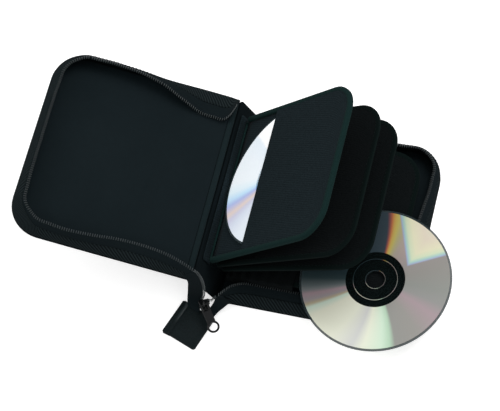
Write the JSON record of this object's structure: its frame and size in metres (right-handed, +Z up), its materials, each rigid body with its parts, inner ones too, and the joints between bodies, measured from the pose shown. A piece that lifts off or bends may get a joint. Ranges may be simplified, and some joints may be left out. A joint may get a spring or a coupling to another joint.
{
  "type": "zip disc wallet",
  "caption": "Square zip-around fabric wallet for discs, lying open, with stiff double-sided sleeves fanned from the spine, a disc in a pocket and a disc laid on the last sleeve.",
  "frame": {"origin": "centre of the back cover's underside", "axes": "+X across the back cover away from the spine, +Y along the spine towards the end without the zip pull, +Z up"},
  "size_m": [0.346, 0.2055, 0.1257],
  "materials": {
    "shell_cloth": "matt woven cloth",
    "lining_cloth": "smooth padded cloth",
    "pocket_cloth": "fine ribbed cloth",
    "twill": "diagonal ribbed cloth",
    "woven": "plain woven zip tape",
    "nylon": "nylon coil",
    "edging": "grosgrain binding",
    "hide": "grained artificial leather",
    "black_metal": "glossy black",
    "disc_silver": "mirror with fine grooves"
  },
  "bodies": {
    "back_cover": {"back_shell": "shell_cloth", "back_lining": "lining_cloth", "back_band": "twill", "back_tape": "woven", "back_coil": "nylon", "loose_disc": "disc_silver", "zip_tab": "hide", "front_tail": "woven", "back_tail": "woven", "front_tail_coil": "nylon", "back_tail_coil": "nylon"},
    "spine": {"spine_panel": "shell_cloth", "binding_strip": "pocket_cloth"},
    "front_cover": {"front_shell": "shell_cloth", "front_lining": "lining_cloth", "front_band": "twill", "front_tape": "woven", "front_coil": "nylon", "seam_bead": "shell_cloth"},
    "sleeve_1": {"sleeve_1_sheet": "lining_cloth", "sleeve_1_bead": "edging", "sleeve_1_pocket": "pocket_cloth", "sleeve_1_back_pocket": "pocket_cloth", "sleeve_1_binding": "edging", "sleeve_disc": "disc_silver"},
    "sleeve_2": {"sleeve_2_sheet": "lining_cloth", "sleeve_2_bead": "edging", "sleeve_2_pocket": "pocket_cloth", "sleeve_2_back_pocket": "pocket_cloth", "sleeve_2_binding": "edging"},
    "sleeve_3": {"sleeve_3_sheet": "lining_cloth", "sleeve_3_bead": "edging", "sleeve_3_pocket": "pocket_cloth", "sleeve_3_back_pocket": "pocket_cloth", "sleeve_3_binding": "edging"},
    "sleeve_4": {"sleeve_4_sheet": "lining_cloth", "sleeve_4_bead": "edging", "sleeve_4_pocket": "pocket_cloth", "sleeve_4_back_pocket": "pocket_cloth", "sleeve_4_binding": "edging"},
    "zip_slider": {"slider": "black_metal", "slider_bail": "black_metal"},
    "zip_pull": {"zip_pull": "black_metal"}
  },
  "joints": [
    {"name": "cover_fold", "type": "hinge", "parent": "spine", "child": "front_cover", "pos_m": [-0.09259, 0, 0.03439], "axis": [0, 1, 0], "range_deg": [-21, 139.4]},
    {"name": "spine_fold", "type": "hinge", "parent": "back_cover", "child": "spine", "pos_m": [-0.07725, 0, 0.0015], "axis": [0, 1, 0], "range_deg": [-3.82, 25.05]},
    {"name": "sleeve_1_turn", "type": "hinge", "parent": "spine", "child": "sleeve_1", "pos_m": [-0.08516, 0, 0.0265], "axis": [0, 1, 0], "range_deg": [-2.94, 19.25]},
    {"name": "sleeve_2_turn", "type": "hinge", "parent": "spine", "child": "sleeve_2", "pos_m": [-0.08187, 0, 0.02086], "axis": [0, 1, 0], "range_deg": [-1.06, 6.75]},
    {"name": "sleeve_3_turn", "type": "hinge", "parent": "spine", "child": "sleeve_3", "pos_m": [-0.07845, 0, 0.01473], "axis": [0, 1, 0], "range_deg": [-2.55, 0.43]},
    {"name": "sleeve_4_turn", "type": "hinge", "parent": "spine", "child": "sleeve_4", "pos_m": [-0.07529, 0, 0.00793], "axis": [0, 1, 0], "range_deg": [-25.05, 3.82]},
    {"name": "slider_run", "type": "slide", "parent": "back_cover", "child": "zip_slider", "axis": [0.342, -0.9397, 0], "range_m": [0, 0.0025]},
    {"name": "pull_swing", "type": "hinge", "parent": "zip_slider", "child": "zip_pull", "pos_m": [-0.08389, -0.08985, 0.011], "axis": [-0.809, -0.5878, 0], "range_deg": [0, 95]}
  ],
  "couplings": [
    {"joint": "spine_fold", "follows": "cover_fold", "ratio": 0.17934},
    {"joint": "sleeve_1_turn", "follows": "cover_fold", "ratio": 0.13773},
    {"joint": "sleeve_2_turn", "follows": "cover_fold", "ratio": 0.048063},
    {"joint": "sleeve_3_turn", "follows": "cover_fold", "ratio": -0.017934},
    {"joint": "sleeve_4_turn", "follows": "cover_fold", "ratio": -0.17934}
  ]
}
